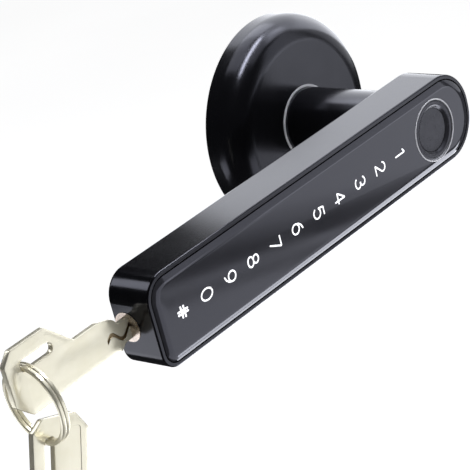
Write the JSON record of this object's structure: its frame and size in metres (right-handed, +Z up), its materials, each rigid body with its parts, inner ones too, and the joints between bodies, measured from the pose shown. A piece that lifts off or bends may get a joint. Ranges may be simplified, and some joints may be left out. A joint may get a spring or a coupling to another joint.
{
  "type": "lever lock outside half",
  "caption": "Outside half of a lever lock: round rose, neck and flat lever with a touch panel, fingerprint sensor and an emergency key cylinder with a key in it.",
  "frame": {"origin": "centre of the rose on the door's face", "axes": "+Z up; the outside of the door is -Y; the lever lies along X with its key end at -X"},
  "size_m": [0.2014, 0.0803, 0.1022],
  "materials": {
    "black_coat": "satin",
    "seal_ring": "satin",
    "plated_steel": "zinc plated",
    "spring_steel": "oiled",
    "hard_steel": "ground",
    "screw_steel": "blackened",
    "soft_rubber": "matt",
    "bearing_plastic": "natural",
    "panel_glass": "polished",
    "sensor_face": "fine satin",
    "light_pipe": "frosted",
    "circuit_green": "solder mask",
    "chip_black": "moulded",
    "cylinder_nickel": "nickel plated",
    "brass": "machined",
    "key_nickel": "nickel plated"
  },
  "bodies": {
    "rose": {"rose_cover": "black_coat", "neck_seal_ring": "seal_ring", "mounting_plate": "plated_steel", "fixing_posts": "plated_steel", "rose_gasket": "soft_rubber", "cover_screw": "screw_steel", "stop_studs": "plated_steel", "neck_bush": "bearing_plastic", "return_spring": "spring_steel"},
    "lever": {"lever_body": "black_coat", "spring_driver": "plated_steel", "retaining_ring": "spring_steel", "touch_panel": "panel_glass", "panel_gasket": "soft_rubber", "light_ring": "light_pipe", "sensor_bezel": "sensor_face", "fingerprint_sensor": "sensor_face", "light_guide": "light_pipe", "backlight_lamps": "light_pipe", "circuit_board": "circuit_green", "control_chips": "chip_black", "board_connector": "bearing_plastic", "board_screws": "screw_steel", "signal_cable": "soft_rubber", "cable_plug": "bearing_plastic", "clutch_motor": "hard_steel", "motor_clamp": "bearing_plastic", "motor_leads": "soft_rubber", "motor_shaft": "hard_steel", "clutch_spring": "spring_steel", "clutch_guide": "bearing_plastic", "cylinder_housing": "cylinder_nickel", "cylinder_screw": "screw_steel", "rod_supports": "bearing_plastic"},
    "spindle": {"clutch_hub": "hard_steel", "drive_spindle": "hard_steel", "spindle_pin": "hard_steel"},
    "clutch": {"clutch_pin": "hard_steel", "clutch_carriage": "brass"},
    "plug": {"key_plug": "cylinder_nickel", "key_wafers": "brass", "wafer_springs": "spring_steel", "plug_clip": "spring_steel", "cam_rod": "hard_steel", "override_cam": "brass"},
    "working_key": {"key": "key_nickel"},
    "keyring": {"split_ring": "key_nickel"},
    "hanging_key": {"spare_key": "key_nickel"}
  },
  "joints": [
    {"name": "lever_turn", "type": "hinge", "parent": "rose", "child": "lever", "pos_m": [0, 0, 0], "axis": [0, 1, 0], "range_deg": [-45, 45], "stiffness_Nm_per_rad": 1.8, "springref_deg": 4.3, "deforming": ["return_spring"]},
    {"name": "spindle_turn", "type": "hinge", "parent": "rose", "child": "spindle", "pos_m": [0, 0, 0], "axis": [0, 1, 0], "range_deg": [-45, 45]},
    {"name": "key_turn", "type": "hinge", "parent": "lever", "child": "plug", "pos_m": [-0.1218, -0.0487, -0.0005], "axis": [-1, 0, 0], "range_deg": [0, 90]},
    {"name": "clutch_throw", "type": "slide", "parent": "lever", "child": "clutch", "axis": [0, 1, 0], "range_m": [0, 0.0024]},
    {"name": "key_pull", "type": "slide", "parent": "plug", "child": "working_key", "axis": [-1, 0, 0], "range_m": [0, 0.021]},
    {"name": "ring_swing", "type": "hinge", "parent": "working_key", "child": "keyring", "pos_m": [-0.1567, -0.0487, 0.00765], "axis": [0, 1, 0], "range_deg": [-15, 15]},
    {"name": "spare_swing", "type": "hinge", "parent": "keyring", "child": "hanging_key", "pos_m": [-0.1567, -0.0487, -0.01355], "axis": [0, 1, 0], "range_deg": [-8, 8]}
  ],
  "couplings": [
    {"joint": "spindle_turn", "follows": "lever_turn", "ratio": 1},
    {"joint": "clutch_throw", "follows": "key_turn", "m_per_rad": 0.0015279}
  ]
}
